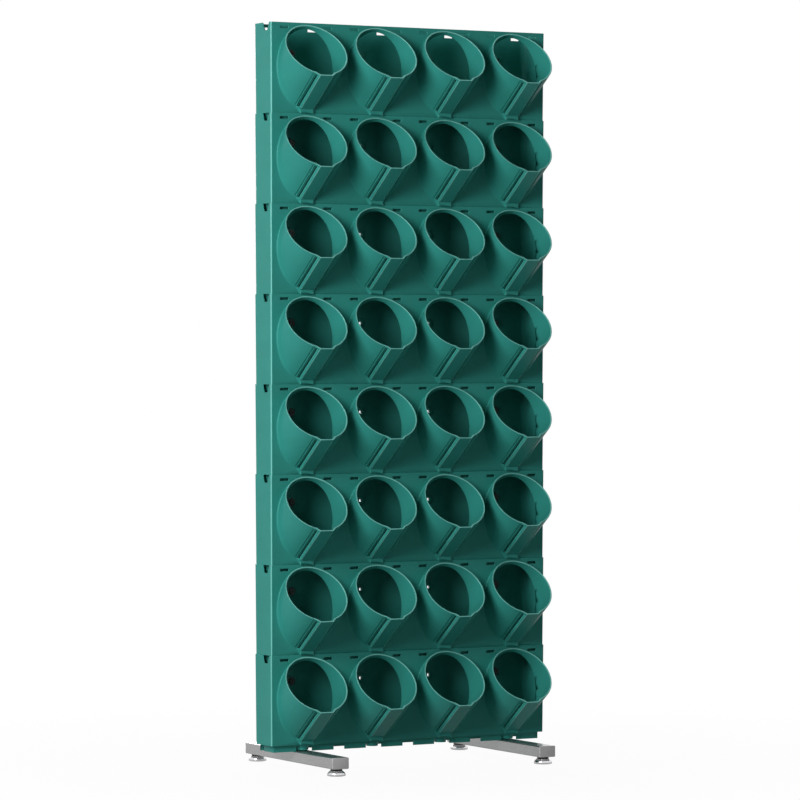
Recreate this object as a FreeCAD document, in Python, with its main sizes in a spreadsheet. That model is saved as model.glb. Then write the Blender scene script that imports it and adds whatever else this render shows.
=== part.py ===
"""Free-standing planting wall: eight stacked planter modules on an upright frame with levelling glides."""

import FreeCAD
import Part
import Sketcher
import os
import re
from FreeCAD import Rotation, Vector

DOC = FreeCAD.newDocument("PlantShelf")
SHEET = DOC.addObject("Spreadsheet::Sheet", "Sizes")

# Height of a pot from its root on the wall to the top edge of the module
POT_RISE = "rim_drop + 2 * pot_radius * cos(pot_tilt)"
POT_RISE += " + (rim_proud + 2 * pot_radius * sin(pot_tilt)) * tan(pot_tilt - pot_draft)"

# Driving dimensions in millimetres and degrees: alias, value or formula, what it is
SIZES = [
    ("columns", 4, "pots across one module"),
    ("rows", 8, "modules in the stack"),
    ("pot_gap", 29, "clear space between neighbouring pots"),
    ("column_pitch", "=2 * pot_radius + pot_gap", "pot to pot across"),
    ("pot_foot", 8.5, "least height of the pot root above the module seam"),
    ("row_pitch", f"=ceil({POT_RISE} + pot_foot)", "module height, seam to seam"),
    ("trough_depth", 76.5, "front to back at the top edge"),
    ("trough_wall", 3, "wall of the trough"),
    ("trough_draft", 1.5, "narrowing of each side from top to bottom"),
    ("corner_radius", 4, "rounding of the upright corners"),
    ("floor_thickness", 3, "trough floor"),
    ("pot_radius", 73, "outside of the pot at its mouth"),
    ("pot_tilt", 39, "pot axis above the horizontal"),
    ("pot_draft", 2, "half angle by which the pot narrows inward"),
    ("pot_wall", 3, "wall of the pot"),
    ("pot_reach", 190, "length of the cones that the pots are cut from"),
    ("pot_sink", 0.5, "pots and keels into the wall at its foot"),
    ("bore_sink", 4.5, "pot bores behind the wall front at its foot"),
    ("rim_drop", 4.5, "highest rim point below the top edge"),
    ("rim_proud", 2.5, "highest rim point in front of the wall"),
    ("rim_round_outside", 0.5, "rounding of the outer rim edge"),
    ("rim_round_inside", 1, "rounding of the inner rim edge"),
    ("root_round_top", 1.5, "fillet between pot and wall at its top"),
    ("root_round_base", 6, "fillet between pot and wall at its base"),
    ("keel_width", 32, "flat of the drip keel under the pot"),
    ("keel_flare", 9.5, "sideways run of each keel flank"),
    ("keel_proud", 3.5, "keel flat below the pot"),
    ("keel_root", 5, "depth at which the flanks start inside the pot"),
    ("channel_inset", 2.2, "channel flat narrower than the keel flat, each side"),
    ("groove_offset", 27.5, "shadow groove from the keel middle"),
    ("groove_radius", 2, "half width of the shadow groove"),
    ("groove_start", 5, "groove end behind the rim"),
    ("tab_proud", 4.5, "tab under the keel in front of the wall"),
    ("slot_border", 33.5, "wall slot from the border between two pot columns"),
    ("slot_width", 21.5, "wall slot"),
    ("slot_height", 6, "wall slot"),
    ("slot_drop", 7.5, "wall slot below the top edge"),
    ("hole_height", 135, "bolt hole above the module seam"),
    ("boss_diameter", 22, "bolt boss on the rear wall"),
    ("boss_thickness", 6, "bolt boss on the rear wall"),
    ("notch_setback", 8, "pipe notch behind the front"),
    ("notch_width", 32, "pipe notch at the top edge"),
    ("notch_floor", 14, "pipe notch at its bottom"),
    ("notch_depth", 17.5, "pipe notch"),
    ("skirt_height", 15, "skirt under the module"),
    ("skirt_inset", 8, "skirt behind the front wall foot"),
    ("skirt_side_inset", 10, "skirt inside the side wall foot"),
    ("skirt_wall", 2.5, "skirt"),
    ("skirt_band", 4, "unbroken upper edge of the front skirt"),
    ("skirt_gap", 28, "gap in the skirt between the columns"),
    ("skirt_notch", 40, "gap in the skirt under a tab"),
    ("skirt_rear_gap", 21, "end of the side skirt before the rear wall"),
    ("skirt_rear_inset", 2, "rear skirt ahead of the rear wall foot"),
    ("spout_radius", 13, "drain spout"),
    ("spout_bore", 10, "drain bore radius"),
    ("spout_setback", 17.5, "drain spout behind the front"),
    ("spout_length", 12, "drain spout below the seam"),
    ("overcut", 1, "drain bores beyond the ends of their spouts"),
    ("front_offset", 47, "front wall ahead of the foot bar middle"),
    ("tube_width", 40, "frame tube, broad side"),
    ("tube_depth", 25, "frame tube, narrow side"),
    ("tube_wall", 2, "frame tube"),
    ("tube_round", 2.5, "frame tube corners"),
    ("foot_length", 410, "foot bar over its caps"),
    ("cap_flange", 2.5, "end cap plate"),
    ("cap_depth", 9, "end cap plug"),
    ("cap_gap", 0.2, "end cap plug clearance in the tube"),
    ("upright_drop", 20, "upright cap below the module top"),
    ("spigot_height", 70, "foot spigot"),
    ("spigot_gap", 0.2, "spigot clearance in the upright"),
    ("spigot_wall", 2.5, "foot spigot"),
    ("spigot_bolt_height", 38, "spigot bolt above the foot bar"),
    ("rail_height", 60, "rail middle above the module seam"),
    ("plug_length", 22, "rail end plug"),
    ("plug_gap", 0.1, "plug clearance in the rail"),
    ("bolt_radius", 3, "frame and module bolts"),
    ("bolt_gap", 0.3, "bolt clearance in its holes"),
    ("bolt_head_radius", 5.5, "bolt head"),
    ("bolt_head_height", 3.5, "bolt head"),
    ("bolt_socket", 2, "half width of the bolt drive socket"),
    ("bolt_socket_depth", 2.2, "bolt drive socket"),
    ("bolt_end", 2, "bolt beyond its nut"),
    ("rail_bolt_reach", 16, "rail bolt inside its plug"),
    ("nut_across", 10, "hexagon nut across the flats"),
    ("nut_height", 6, "hexagon nut"),
    ("washer_radius", 9, "washer"),
    ("washer_height", 1.6, "washer"),
    ("glide_height", 16, "foot bar underside above the floor"),
    ("glide_inset", 20, "glide from the foot bar end"),
    ("pad_radius", 20, "glide dish at the floor"),
    ("pad_neck", 13.5, "glide dish at its top"),
    ("pad_lip", 5.5, "straight edge of the dish"),
    ("pad_height", 12, "top of the dish above the floor"),
    ("sole_radius", 18, "glide sole"),
    ("sole_height", 2, "glide sole"),
    ("sole_proud", 0.5, "sole below the dish edge"),
    ("collar_radius", 13, "glide collar"),
    ("collar_gap", 0.3, "collar above the dish"),
    ("stud_radius", 5, "glide stud"),
    ("stud_foot", 4.5, "underside of the stud above the floor"),
    ("stud_head", 20, "stud above the foot bar underside"),
    ("stud_chamfer", 1, "chamfer of the stud tip"),
    ("stud_gap", 0.06, "stud clearance in insert and dish"),
    ("insert_flange", 1, "threaded insert flange"),
    ("insert_flange_radius", 11, "threaded insert flange"),
    ("insert_radius", 7, "threaded insert barrel"),
    ("insert_height", 14, "threaded insert above the foot bar underside"),
]
ALIASES = {alias for alias, value, note in SIZES}

# Cosines from which a face counts as facing a way and an edge or face as parallel
FACING = 0.9
PARALLEL = 0.9999

# Positions that several pieces share
PANEL_HALF = "columns * column_pitch / 2"
OUTER_COLUMN = "(columns - 1) * column_pitch / 2"
FOOT_TOP = "(glide_height + tube_depth)"
STACK_BASE = f"({FOOT_TOP} + skirt_height)"
STACK_TOP = f"({STACK_BASE} + rows * row_pitch)"
FRONT = "(0 - front_offset)"
MODULE_REAR = f"({FRONT} + trough_depth)"
UPRIGHT_FRONT = f"({MODULE_REAR} + washer_height)"
UPRIGHT_MIDDLE = f"({UPRIGHT_FRONT} + tube_depth / 2)"
UPRIGHT_TOP = f"({STACK_TOP} - upright_drop - cap_flange)"
RIM_HEIGHT = "(row_pitch - rim_drop)"
BOLT_HOLE = "(bolt_radius + bolt_gap)"


# Sheet and expressions
def fill_sheet():
    for row, (alias, value, note) in enumerate(SIZES, start=1):
        SHEET.set(f"A{row}", note)
        SHEET.set(f"B{row}", str(value))
        SHEET.setAlias(f"B{row}", alias)
    DOC.recompute()


def ref(text):
    return re.sub(r"[a-z_]+", lambda word: f"Sizes.{word[0]}" if word[0] in ALIASES else word[0], text)


def size(text):
    return float(SHEET.evalExpression(ref(text)))


def column_x(index):
    return f"({index} - (columns - 1) / 2) * column_pitch"


# Part primitives whose sizes and places follow the sheet
def place(item, x, y, z, turn="rotationz(0)"):
    item.setExpression("Placement", ref(f"placement(vector({x}; {y}; {z}); {turn})"))
    return item


def bind(item, **values):
    for name, text in values.items():
        item.setExpression(name, ref(text))
    return item


def box(name, x, y, z, turn="rotationz(0)", at=("0", "0", "0")):
    item = DOC.addObject("Part::Wedge", name)
    bind(item, Xmin=x[0], Xmax=x[1], X2min=x[0], X2max=x[1])
    bind(item, Ymin=y[0], Ymax=y[1])
    bind(item, Zmin=z[0], Zmax=z[1], Z2min=z[0], Z2max=z[1])
    return place(item, *at, turn)


def flared_bar(name, low, high, half_low, half_high, z, at, turn):
    item = DOC.addObject("Part::Wedge", name)
    bind(item, Xmin=f"0 - ({half_low})", Xmax=half_low, X2min=f"0 - ({half_high})", X2max=half_high)
    bind(item, Ymin=low, Ymax=high)
    bind(item, Zmin=z[0], Zmax=z[1], Z2min=z[0], Z2max=z[1])
    return place(item, *at, turn)


def trough_block(name, inset, floor):
    item = DOC.addObject("Part::Wedge", name)
    narrowing = f"(trough_draft * (1 - ({floor}) / row_pitch) + ({inset}))"
    bind(item, Ymin=floor, Ymax="row_pitch")
    bind(item, Xmin=f"0 - {PANEL_HALF} + {narrowing}", Xmax=f"{PANEL_HALF} - {narrowing}")
    bind(item, Zmin=f"0 - trough_depth + {narrowing}", Zmax=f"0 - ({narrowing})")
    bind(item, X2min=f"0 - {PANEL_HALF} + {inset}", X2max=f"{PANEL_HALF} - {inset}")
    bind(item, Z2min=f"0 - trough_depth + {inset}", Z2max=f"0 - ({inset})")
    return place(item, "0", "0", "0", "rotationx(90)")


def cylinder(name, radius, height, at, turn="rotationz(0)"):
    item = DOC.addObject("Part::Cylinder", name)
    bind(item, Radius=radius, Height=height)
    return place(item, *at, turn)


def fuse(name, items):
    item = DOC.addObject("Part::MultiFuse", name)
    item.Shapes = items
    return item


def cut(name, base, tools):
    item = DOC.addObject("Part::Cut", name)
    item.Base = base
    item.Tool = fuse(f"{name}_tools", tools) if len(tools) > 1 else tools[0]
    return item


def common(name, base, tool):
    item = DOC.addObject("Part::Common", name)
    item.Base = base
    item.Tool = tool
    return item


def fillet(name, base, edges):
    item = DOC.addObject("Part::Fillet", name)
    item.Base = base
    item.Edges = edges
    return item


def group(label, items):
    item = DOC.addObject("Part::Compound", label)
    item.Label = label
    item.Links = items
    return item


def copy_of(master, name, x, y, z, turn="rotationz(0)"):
    item = DOC.addObject("App::Link", name)
    item.LinkedObject = master
    return place(item, x, y, z, turn)


# Planter module, drawn with its seam at z = 0 and the front of its top edge at y = 0
POT_TURN = "rotationx(90 - pot_tilt)"
KEEL_TURN = "rotationx(90 - pot_tilt + pot_draft)"
MOUTH_Y = "(0 - rim_proud - pot_radius * sin(pot_tilt))"
MOUTH_Z = f"({RIM_HEIGHT} - pot_radius * cos(pot_tilt))"
LIP_Y = "(0 - rim_proud - 2 * pot_radius * sin(pot_tilt))"
LIP_Z = f"({RIM_HEIGHT} - 2 * pot_radius * cos(pot_tilt))"
SKIRT_EDGE = f"({PANEL_HALF} - trough_draft - skirt_side_inset)"
SKIRT_SPAN = ("0 - skirt_height", "floor_thickness / 2")


def pot_cone(name, index, inset, beyond, angle, turn):
    item = DOC.addObject("Part::Cone", name)
    item.Angle = angle
    bind(item, Height=f"pot_reach + {beyond}")
    bind(item, Radius1=f"pot_radius - {inset} - pot_reach * tan(pot_draft)")
    bind(item, Radius2=f"pot_radius - {inset} + {beyond} * tan(pot_draft)")
    y = f"{MOUTH_Y} + pot_reach * cos(pot_tilt)"
    z = f"{MOUTH_Z} - pot_reach * sin(pot_tilt)"
    return place(item, column_x(index), y, z, f"{POT_TURN} * rotationz({turn})")


def in_front_of(name, depth):
    side = PANEL_HALF
    return box(name, (f"0 - {side}", side), ("0 - pot_reach", depth), ("0 - pot_reach", "2 * row_pitch"))


def keel(index):
    z = ("0 - pot_reach", "pot_wall")
    at = (column_x(index), LIP_Y, LIP_Z)
    half = "keel_width / 2"
    return flared_bar("keel", "0 - keel_proud", "keel_root", half, f"{half} + keel_flare", z, at, KEEL_TURN)


def channel(index):
    z = ("0 - pot_reach", "pot_wall")
    at = (column_x(index), LIP_Y, LIP_Z)
    half = "keel_width / 2 - channel_inset"
    low = "pot_wall - keel_proud"
    high = "pot_wall + keel_root"
    return flared_bar("channel", low, high, half, f"{half} + keel_flare", z, at, KEEL_TURN)


def grooves(index):
    rise = "(pot_radius - sqrt(pot_radius ^ 2 - groove_offset ^ 2))"
    angle = "(pot_tilt - pot_draft)"
    y = f"{LIP_Y} + {rise} * sin{angle} + pot_reach * cos{angle}"
    z = f"{LIP_Z} + {rise} * cos{angle} - pot_reach * sin{angle}"
    items = []
    for side in (-1, 1):
        x = f"{column_x(index)} + {side} * groove_offset"
        items.append(cylinder("groove", "groove_radius", "pot_reach - groove_start", (x, y, z), KEEL_TURN))
    return items


def tab(index):
    half = "keel_width / 2"
    x = (f"{column_x(index)} - {half}", f"{column_x(index)} + {half}")
    return box("tab", x, ("0 - tab_proud", "trough_draft + trough_wall / 2"), ("0", "keel_root + tab_proud"))


def wall_slots(index):
    z = ("row_pitch - slot_drop - slot_height", "row_pitch - slot_drop")
    items = []
    for side in (-1, 1):
        middle = f"{column_x(index)} + {side} * (column_pitch / 2 - slot_border)"
        x = (f"{middle} - slot_width / 2", f"{middle} + slot_width / 2")
        items.append(box("slot", x, ("0 - trough_wall", "trough_depth + trough_wall"), z))
    return items


def pipe_notch():
    half_low = "notch_floor / 2"
    half_high = "notch_width / 2"
    z = (f"0 - {PANEL_HALF} - trough_wall", f"{PANEL_HALF} + trough_wall")
    at = ("0", "notch_setback + notch_width / 2", "row_pitch")
    turn = "rotationz(90) * rotationx(90)"
    return flared_bar("notch", "0 - notch_depth", "0", half_low, half_high, z, at, turn)


def front_skirts(index):
    y = ("trough_draft + skirt_inset", "trough_draft + skirt_inset + skirt_wall")
    inner = "skirt_notch / 2"
    outer = "(column_pitch - skirt_gap) / 2"
    ends = {-1: outer, 1: outer}
    corner = "(column_pitch / 2 - trough_draft - skirt_side_inset)"
    if index == 0:
        ends[-1] = corner
    if index == int(size("columns")) - 1:
        ends[1] = corner
    items = []
    for side, end in ends.items():
        near = f"{column_x(index)} + {side} * {inner}"
        far = f"{column_x(index)} + {side} * {end}"
        x = (far, near) if side < 0 else (near, far)
        items.append(box("front_skirt", x, y, SKIRT_SPAN))
    return items


def long_skirts():
    x = (f"0 - {SKIRT_EDGE}", SKIRT_EDGE)
    front = "(trough_draft + skirt_inset)"
    back = "(trough_depth - trough_draft - skirt_rear_inset)"
    band = box("skirt_band", x, (front, f"{front} + skirt_wall"), ("0 - skirt_band", "floor_thickness / 2"))
    rear = box("rear_skirt", x, (f"{back} - skirt_wall", back), SKIRT_SPAN)
    return [band, rear]


def side_skirts():
    y = ("trough_draft + skirt_inset", "trough_depth - skirt_rear_gap")
    left = box("side_skirt", (f"0 - {SKIRT_EDGE}", f"0 - {SKIRT_EDGE} + skirt_wall"), y, SKIRT_SPAN)
    right = box("side_skirt", (f"{SKIRT_EDGE} - skirt_wall", SKIRT_EDGE), y, SKIRT_SPAN)
    return [left, right]


def spout(index, radius, low, high):
    return cylinder("spout", radius, f"{high} + {low}", (column_x(index), "spout_setback", f"0 - ({low})"))


def boss(index):
    at = (column_x(index), "trough_depth", "hole_height")
    return cylinder("boss", "boss_diameter / 2", "boss_thickness", at, "rotationx(90)")


def boss_hole(index):
    at = (column_x(index), "trough_depth + trough_wall", "hole_height")
    return cylinder("boss_hole", BOLT_HOLE, "boss_thickness + 2 * trough_wall", at, "rotationx(90)")


def upright_edges(item, radius):
    found = []
    for number, edge in enumerate(item.Shape.Edges, start=1):
        low, high = sorted(vertex.Z for vertex in edge.Vertexes)
        if high - low > item.Shape.BoundBox.ZLength / 2:
            found.append((number, radius, radius))
    return found


def pot_root_edges(item):
    top = size("root_round_top")
    base = size("root_round_base")
    found = []
    for number, edge in enumerate(item.Shape.Edges, start=1):
        faces = item.Shape.ancestorsOfType(edge, Part.Face)
        cones = [face for face in faces if isinstance(face.Surface, Part.Cone)]
        flats = [face for face in faces if isinstance(face.Surface, Part.Plane)]
        walls = [face for face in flats if abs(face.normalAt(0, 0).y) > FACING]
        if cones and walls:
            start = edge.valueAt(edge.FirstParameter)
            end = edge.valueAt(edge.LastParameter)
            found.append((number, top, base) if start.z > end.z else (number, base, top))
    return found


def rim_edges(item):
    outside = size("rim_round_outside")
    inside = size("rim_round_inside")
    mouth = Rotation(Vector(1, 0, 0), 90 - size("pot_tilt")).multVec(Vector(0, 0, 1))
    found = []
    for number, edge in enumerate(item.Shape.Edges, start=1):
        for face in item.Shape.ancestorsOfType(edge, Part.Face):
            if isinstance(face.Surface, Part.Plane) and face.normalAt(0, 0).dot(mouth) > PARALLEL:
                outer = any(edge.isSame(other) for other in face.OuterWire.Edges)
                radius = outside if outer else inside
                found.append((number, radius, radius))
    return found


def module_outside(columns):
    shell = trough_block("shell", "0", "0")
    DOC.recompute()
    rounded = fillet("rounded_shell", shell, upright_edges(shell, size("corner_radius")))
    halves = [pot_cone("pot", index, "0", "0", 180, turn) for index in columns for turn in (90, -90)]
    pots = common("pots", fuse("pot_cones", halves), in_front_of("pot_limit", "trough_draft + pot_sink"))
    potted = fuse("potted_shell", [rounded, pots])
    DOC.recompute()
    rooted = fillet("rooted_shell", potted, pot_root_edges(potted))
    limit = in_front_of("keel_limit", "trough_draft + pot_sink")
    keels = common("keels", fuse("keel_bars", [keel(index) for index in columns]), limit)
    return fuse("module_outside", [rooted, keels] + [tab(index) for index in columns])


def mouth_trim():
    side = PANEL_HALF
    y = ("0 - 2 * pot_radius", "0")
    return box("mouth_trim", (f"0 - {side}", side), y, ("0", "pot_radius"), POT_TURN, ("0", MOUTH_Y, MOUTH_Z))


def module_hollows(columns):
    cavity = trough_block("cavity", "trough_wall", "floor_thickness")
    bores = [pot_cone("bore", index, "pot_wall", "pot_wall", 360, 90) for index in columns]
    bores += [channel(index) for index in columns]
    mouths = common("mouths", fuse("bores", bores), in_front_of("bore_limit", "trough_draft + bore_sink"))
    lines = [line for index in columns for line in grooves(index)]
    limit = in_front_of("groove_limit", "0 - groove_radius")
    shadows = common("shadow_grooves", fuse("groove_bars", lines), limit)
    slots = [slot for index in columns for slot in wall_slots(index)]
    return [cavity, mouths, shadows, pipe_notch(), mouth_trim()] + slots


def planter_module():
    columns = range(int(size("columns")))
    hollow = cut("module_hollow", module_outside(columns), module_hollows(columns))
    DOC.recompute()
    rimmed = fillet("module_rimmed", hollow, rim_edges(hollow))
    fittings = side_skirts() + long_skirts()
    fittings += [skirt for index in columns for skirt in front_skirts(index)]
    fittings += [spout(index, "spout_radius", "spout_length", "floor_thickness / 2") for index in columns]
    fittings += [boss(index) for index in columns]
    fitted = fuse("module_fitted", [rimmed] + fittings)
    low, high = "spout_length + overcut", "floor_thickness + overcut"
    drains = [spout(index, "spout_bore", low, high) for index in columns]
    holes = [boss_hole(index) for index in columns]
    return cut("planter_module", fitted, drains + holes)


def planter_rows():
    module = planter_module()
    rows = []
    for row in range(1, int(size("rows")) + 1):
        item = copy_of(module, f"planter_row_{row}", "0", FRONT, f"{STACK_BASE} + (rows - {row}) * row_pitch")
        item.Label = f"planter_row_{row}"
        rows.append(item)
    return rows


# Bodies drawn with sketches
def new_body(label):
    body = DOC.addObject("PartDesign::Body", label)
    body.Label = label
    return body


def origin_plane(body, role):
    return next(item for item in body.Origin.OriginFeatures if item.Role == role)


def new_sketch(body, name, role, lift="0"):
    sketch = body.newObject("Sketcher::SketchObject", name)
    sketch.AttachmentSupport = (origin_plane(body, role), [""])
    sketch.MapMode = "FlatFace"
    bind(sketch, **{".AttachmentOffset.Base.z": lift})
    return sketch


def fix_point(sketch, geometry, position, x, y):
    for kind, text in (("DistanceX", x), ("DistanceY", y)):
        number = sketch.addConstraint(Sketcher.Constraint(kind, -1, 1, geometry, position, size(text)))
        sketch.setExpression(f"Constraints[{number}]", ref(text))


def polygon(sketch, points):
    spots = [Vector(size(x), size(y), 0) for x, y in points]
    first = sketch.GeometryCount
    for number, spot in enumerate(spots):
        sketch.addGeometry(Part.LineSegment(spot, spots[(number + 1) % len(spots)]))
    for number, (x, y) in enumerate(points):
        following = first + (number + 1) % len(points)
        sketch.addConstraint(Sketcher.Constraint("Coincident", first + number, 2, following, 1))
        fix_point(sketch, first + number, 1, x, y)


def rectangle(sketch, half_x, half_y, x="0", y="0"):
    left, right = f"{x} - {half_x}", f"{x} + {half_x}"
    low, high = f"{y} - {half_y}", f"{y} + {half_y}"
    polygon(sketch, [(left, low), (right, low), (right, high), (left, high)])


def circle(sketch, radius, x="0", y="0"):
    number = sketch.addGeometry(Part.Circle(Vector(size(x), size(y), 0), Vector(0, 0, 1), size(radius)))
    fix_point(sketch, number, 3, x, y)
    datum = sketch.addConstraint(Sketcher.Constraint("Radius", number, size(radius)))
    sketch.setExpression(f"Constraints[{datum}]", ref(radius))


def pad(body, sketch, length, midplane=False):
    feature = body.newObject("PartDesign::Pad", f"{sketch.Name}_pad")
    feature.Profile = sketch
    feature.SideType = "Symmetric" if midplane else "One side"
    bind(feature, Length=length)
    DOC.recompute()
    return feature


def pocket(body, sketch, length="0", through=False):
    feature = body.newObject("PartDesign::Pocket", f"{sketch.Name}_pocket")
    feature.Profile = sketch
    if through:
        feature.SideType = "Symmetric"
        feature.Type = "ThroughAll"
    else:
        bind(feature, Length=length)
    DOC.recompute()
    return feature


def revolve(body, sketch):
    feature = body.newObject("PartDesign::Revolution", f"{sketch.Name}_turned")
    feature.Profile = sketch
    feature.ReferenceAxis = (sketch, ["V_Axis"])
    feature.Angle = 360
    DOC.recompute()
    return feature


def round_along(body, feature, axis, radius):
    names = []
    for number, edge in enumerate(feature.Shape.Edges, start=1):
        if abs(edge.tangentAt(edge.FirstParameter).dot(axis)) > PARALLEL:
            names.append(f"Edge{number}")
    rounding = body.newObject("PartDesign::Fillet", f"{feature.Name}_round")
    rounding.Base = (feature, names)
    bind(rounding, Radius=radius)
    DOC.recompute()
    return rounding


def tube(body, role, axis, half_x, half_y, length, midplane):
    outline = new_sketch(body, "outline", role)
    rectangle(outline, half_x, half_y)
    solid = pad(body, outline, length, midplane)
    round_along(body, solid, axis, "tube_round")
    hollow = new_sketch(body, "hollow", role)
    rectangle(hollow, f"({half_x} - tube_wall)", f"({half_y} - tube_wall)")
    pocket(body, hollow, through=True)


def drill(body, name, role, spots, radius, length, lift="0"):
    sketch = new_sketch(body, name, role, lift)
    for x, y in spots:
        circle(sketch, radius, x, y)
    return pocket(body, sketch, length)


# Frame
def foot_bar(label, side):
    body = new_body(label)
    length = "foot_length - 2 * cap_flange"
    tube(body, "XZ_Plane", Vector(0, 1, 0), "tube_width / 2", "tube_depth / 2", length, True)
    spots = [("0", f"{end} * (foot_length / 2 - glide_inset)") for end in (-1, 1)]
    drill(body, "insert_holes", "XY_Plane", spots, "insert_radius + stud_gap", "tube_depth")
    return place(body, f"{side} * {OUTER_COLUMN}", "0", "glide_height + tube_depth / 2")


def foot_cap(label, side, end):
    body = new_body(label)
    plate = new_sketch(body, "plate", "XZ_Plane")
    rectangle(plate, "tube_width / 2", "tube_depth / 2")
    flange = pad(body, plate, "cap_flange")
    round_along(body, flange, Vector(0, 1, 0), "tube_round")
    plug = new_sketch(body, "plug", "XZ_Plane", "0 - cap_depth")
    rectangle(plug, "(tube_width / 2 - tube_wall - cap_gap)", "(tube_depth / 2 - tube_wall - cap_gap)")
    pad(body, plug, "cap_depth")
    y = f"{end} * (foot_length / 2 - cap_flange)"
    turn = "rotationz(0)" if end < 0 else "rotationz(180)"
    return place(body, f"{side} * {OUTER_COLUMN}", y, "glide_height + tube_depth / 2", turn)


def foot_spigot(label, side):
    body = new_body(label)
    half_x = "(tube_width / 2 - tube_wall - spigot_gap)"
    half_y = "(tube_depth / 2 - tube_wall - spigot_gap)"
    outline = new_sketch(body, "outline", "XY_Plane")
    rectangle(outline, half_x, half_y)
    rectangle(outline, f"({half_x} - spigot_wall)", f"({half_y} - spigot_wall)")
    pad(body, outline, "spigot_height")
    holes = new_sketch(body, "bolt_hole", "YZ_Plane")
    circle(holes, BOLT_HOLE, "0", "spigot_bolt_height")
    pocket(body, holes, through=True)
    return place(body, f"{side} * {OUTER_COLUMN}", UPRIGHT_MIDDLE, FOOT_TOP)


def rail_heights():
    rows = int(size("rows"))
    return [f"({STACK_BASE} + {row} * row_pitch + rail_height)" for row in (1, rows - 2)]


def upright(label, side):
    body = new_body(label)
    length = f"{UPRIGHT_TOP} - {FOOT_TOP}"
    tube(body, "XY_Plane", Vector(0, 0, 1), "tube_width / 2", "tube_depth / 2", length, False)
    cross = new_sketch(body, "cross_holes", "YZ_Plane")
    circle(cross, BOLT_HOLE, "0", "spigot_bolt_height")
    for height in rail_heights():
        circle(cross, BOLT_HOLE, "0", f"{height} - {FOOT_TOP}")
    pocket(body, cross, through=True)
    through = new_sketch(body, "module_holes", "XZ_Plane")
    for row in range(int(size("rows"))):
        circle(through, BOLT_HOLE, "0", f"skirt_height + {row} * row_pitch + hole_height")
    pocket(body, through, through=True)
    return place(body, f"{side} * {OUTER_COLUMN}", UPRIGHT_MIDDLE, FOOT_TOP)


def upright_cap(label, side):
    body = new_body(label)
    plate = new_sketch(body, "plate", "XY_Plane")
    rectangle(plate, "tube_width / 2", "tube_depth / 2")
    flange = pad(body, plate, "cap_flange")
    round_along(body, flange, Vector(0, 0, 1), "tube_round")
    plug = new_sketch(body, "plug", "XY_Plane", "0 - cap_depth")
    rectangle(plug, "(tube_width / 2 - tube_wall - cap_gap)", "(tube_depth / 2 - tube_wall - cap_gap)")
    pad(body, plug, "cap_depth")
    return place(body, f"{side} * {OUTER_COLUMN}", UPRIGHT_MIDDLE, UPRIGHT_TOP)


def cross_rail(label, height):
    body = new_body(label)
    length = f"2 * {OUTER_COLUMN} - tube_width"
    tube(body, "YZ_Plane", Vector(1, 0, 0), "tube_depth / 2", "tube_width / 2", length, True)
    return place(body, "0", UPRIGHT_MIDDLE, height)


def rail_plugs(heights):
    master = new_body("rail_plug")
    outline = new_sketch(master, "outline", "YZ_Plane")
    rectangle(outline, "(tube_depth / 2 - tube_wall - plug_gap)", "(tube_width / 2 - tube_wall - plug_gap)")
    pad(master, outline, "plug_length")
    bore = new_sketch(master, "bore", "YZ_Plane")
    circle(bore, "bolt_radius + plug_gap")
    pocket(master, bore, through=True)
    end = f"({OUTER_COLUMN} - tube_width / 2)"
    items = []
    for height in heights:
        items.append(copy_of(master, "plug_left", f"0 - {end}", UPRIGHT_MIDDLE, height))
        items.append(copy_of(master, "plug_right", f"{end} - plug_length", UPRIGHT_MIDDLE, height))
    return group("rail_plugs", items)


# Fasteners, each drawn along z with the underside of its head or its seat at z = 0
def bolt(name, length):
    body = new_body(name)
    shank = new_sketch(body, "shank", "XY_Plane", f"0 - ({length})")
    circle(shank, "bolt_radius")
    pad(body, shank, length)
    head = new_sketch(body, "head", "XY_Plane")
    circle(head, "bolt_head_radius")
    pad(body, head, "bolt_head_height")
    socket = new_sketch(body, "socket", "XY_Plane", "bolt_head_height")
    hexagon(socket, "bolt_socket")
    pocket(body, socket, "bolt_socket_depth")
    return body


def hexagon(sketch, half_across):
    corners = []
    for step in range(6):
        reach = f"{half_across} / cos(30)"
        corners.append((f"{reach} * cos({60 * step})", f"{reach} * sin({60 * step})"))
    polygon(sketch, corners)


def nut(name):
    body = new_body(name)
    outline = new_sketch(body, "outline", "XY_Plane")
    hexagon(outline, "nut_across / 2")
    circle(outline, "bolt_radius + plug_gap")
    pad(body, outline, "nut_height")
    return body


def washer(name):
    body = new_body(name)
    outline = new_sketch(body, "outline", "XY_Plane")
    circle(outline, "washer_radius")
    circle(outline, BOLT_HOLE)
    pad(body, outline, "washer_height")
    return body


def module_fasteners():
    grip = "(boss_thickness + tube_depth + 3 * washer_height)"
    bolt_master = bolt("module_bolt", f"{grip} + nut_height + bolt_end")
    washer_master = washer("module_washer")
    nut_master = nut("module_nut")
    seat = f"({MODULE_REAR} - boss_thickness)"
    back = f"({UPRIGHT_FRONT} + tube_depth)"
    bolts, washers, nuts = [], [], []
    for side in (-1, 1):
        x = f"{side} * {OUTER_COLUMN}"
        for row in range(int(size("rows"))):
            z = f"{STACK_BASE} + {row} * row_pitch + hole_height"
            bolts.append(copy_of(bolt_master, "bolt", x, f"{seat} - washer_height", z, "rotationx(90)"))
            washers.append(copy_of(washer_master, "washer", x, seat, z, "rotationx(90)"))
            washers.append(copy_of(washer_master, "spacer", x, MODULE_REAR, z, "rotationx(-90)"))
            washers.append(copy_of(washer_master, "washer", x, back, z, "rotationx(-90)"))
            nuts.append(copy_of(nut_master, "nut", x, f"{back} + washer_height", z, "rotationx(-90)"))
    return [group("module_bolts", bolts), group("module_washers", washers), group("module_nuts", nuts)]


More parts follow.
